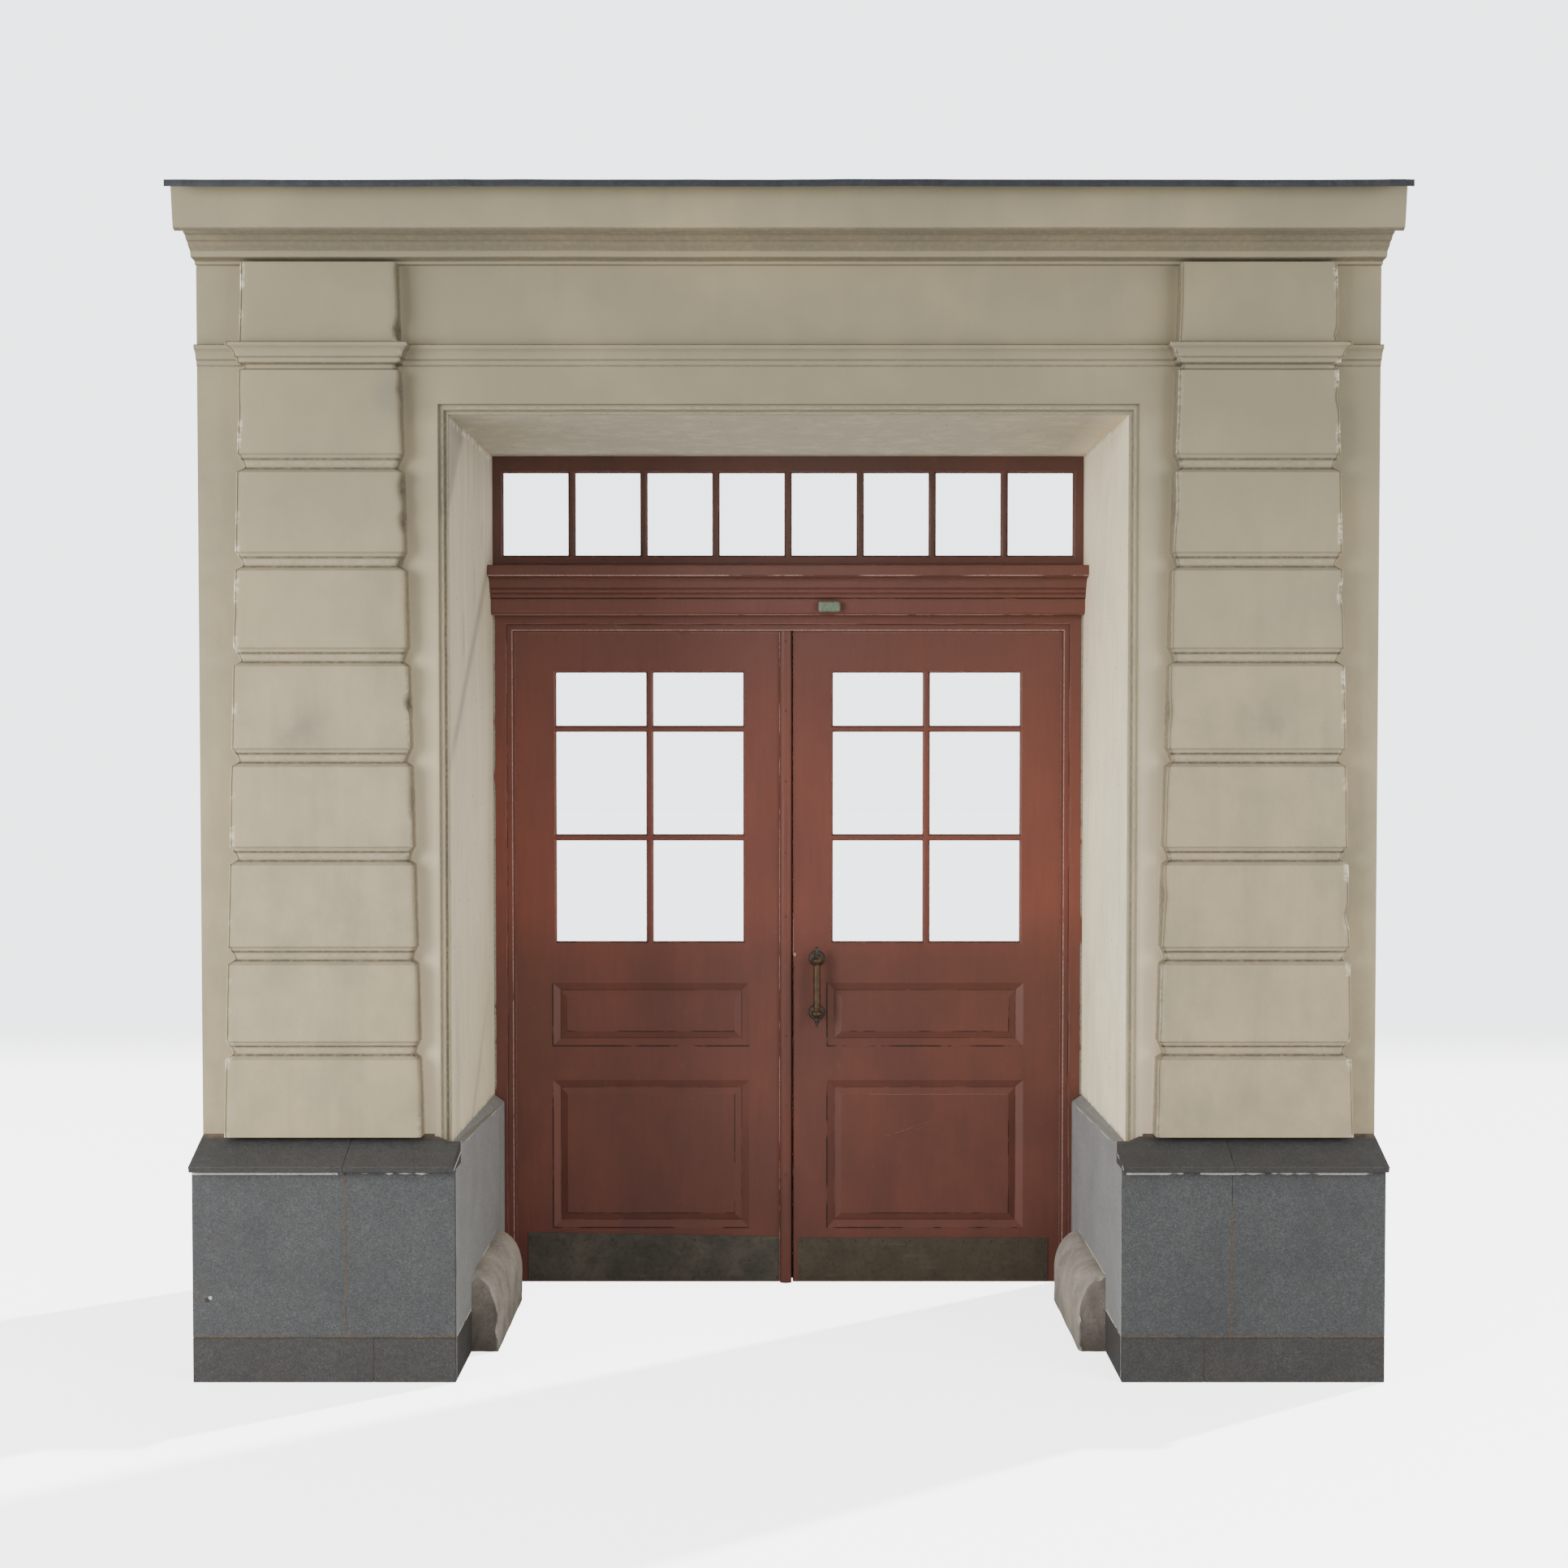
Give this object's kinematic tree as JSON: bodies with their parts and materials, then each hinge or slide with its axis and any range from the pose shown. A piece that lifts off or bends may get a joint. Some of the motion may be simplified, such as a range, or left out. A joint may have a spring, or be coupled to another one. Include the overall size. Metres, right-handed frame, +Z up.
{
  "type": "door surround",
  "caption": "Rendered doorway with rusticated pilasters, moulded cornice, granite plinth, deep reveal, fanlight and a pair of glazed and panelled inward-opening doors.",
  "frame": {"origin": "on the floor, at the centre of the block in plan", "axes": "+Z up, +X along the wall to the right seen from the street, -Y out of the wall towards the street"},
  "size_m": [3.484, 1.288, 3.4798],
  "materials": {
    "render": "mottled fine lime render, matt",
    "granite": "fine grey granite, sawn and flamed",
    "guard_stone": "worn brown stone",
    "flashing": "dark painted sheet",
    "painted_timber": "worn red-brown oil paint",
    "glass": "clear window glass",
    "kick_plate": "dull dark metal sheet",
    "bronze": "aged bronze",
    "brass": "dull brass",
    "hinge": "painted steel",
    "plastic": "grey-green, matt"
  },
  "bodies": {
    "surround": {"wall": "render", "cornice": "render", "cornice_flashing": "flashing", "base_outer_left": "granite", "base_inner_left": "granite", "base_reveal_left": "granite", "dado_outer_left": "granite", "dado_inner_left": "granite", "dado_reveal_left": "granite", "cap_outer_left": "granite", "cap_inner_left": "granite", "base_outer_right": "granite", "base_inner_right": "granite", "base_reveal_right": "granite", "dado_outer_right": "granite", "dado_inner_right": "granite", "dado_reveal_right": "granite", "cap_outer_right": "granite", "cap_inner_right": "granite", "guard_stone_left": "guard_stone", "guard_stone_right": "guard_stone", "door_frame": "painted_timber", "transom_bar": "painted_timber", "fanlight_sash": "painted_timber", "fanlight_pane_1": "glass", "fanlight_pane_2": "glass", "fanlight_pane_3": "glass", "fanlight_pane_4": "glass", "fanlight_pane_5": "glass", "fanlight_pane_6": "glass", "fanlight_pane_7": "glass", "fanlight_pane_8": "glass", "sensor_cover": "plastic", "hinge_left_1_frame": "hinge", "hinge_left_2_frame": "hinge", "hinge_right_1_frame": "hinge", "hinge_right_2_frame": "hinge"},
    "leaf_left": {"door_leaf_left": "painted_timber", "pane_left_1": "glass", "pane_left_2": "glass", "pane_left_3": "glass", "pane_left_4": "glass", "pane_left_5": "glass", "pane_left_6": "glass", "kick_plate_left": "kick_plate", "astragal": "painted_timber", "hinge_left_1_leaf": "hinge", "hinge_left_2_leaf": "hinge"},
    "leaf_right": {"door_leaf_right": "painted_timber", "pane_right_1": "glass", "pane_right_2": "glass", "pane_right_3": "glass", "pane_right_4": "glass", "pane_right_5": "glass", "pane_right_6": "glass", "kick_plate_right": "kick_plate", "pull_handle": "bronze", "lock_stud": "brass", "hinge_right_1_leaf": "hinge", "hinge_right_2_leaf": "hinge"}
  },
  "joints": [
    {"name": "left_leaf_hinge", "type": "hinge", "parent": "surround", "child": "leaf_left", "pos_m": [-0.957, 0.6003, 1.13], "axis": [0, 0, 1], "range_deg": [0, 95]},
    {"name": "right_leaf_hinge", "type": "hinge", "parent": "surround", "child": "leaf_right", "pos_m": [0.957, 0.6003, 1.13], "axis": [0, 0, -1], "range_deg": [0, 95]}
  ]
}
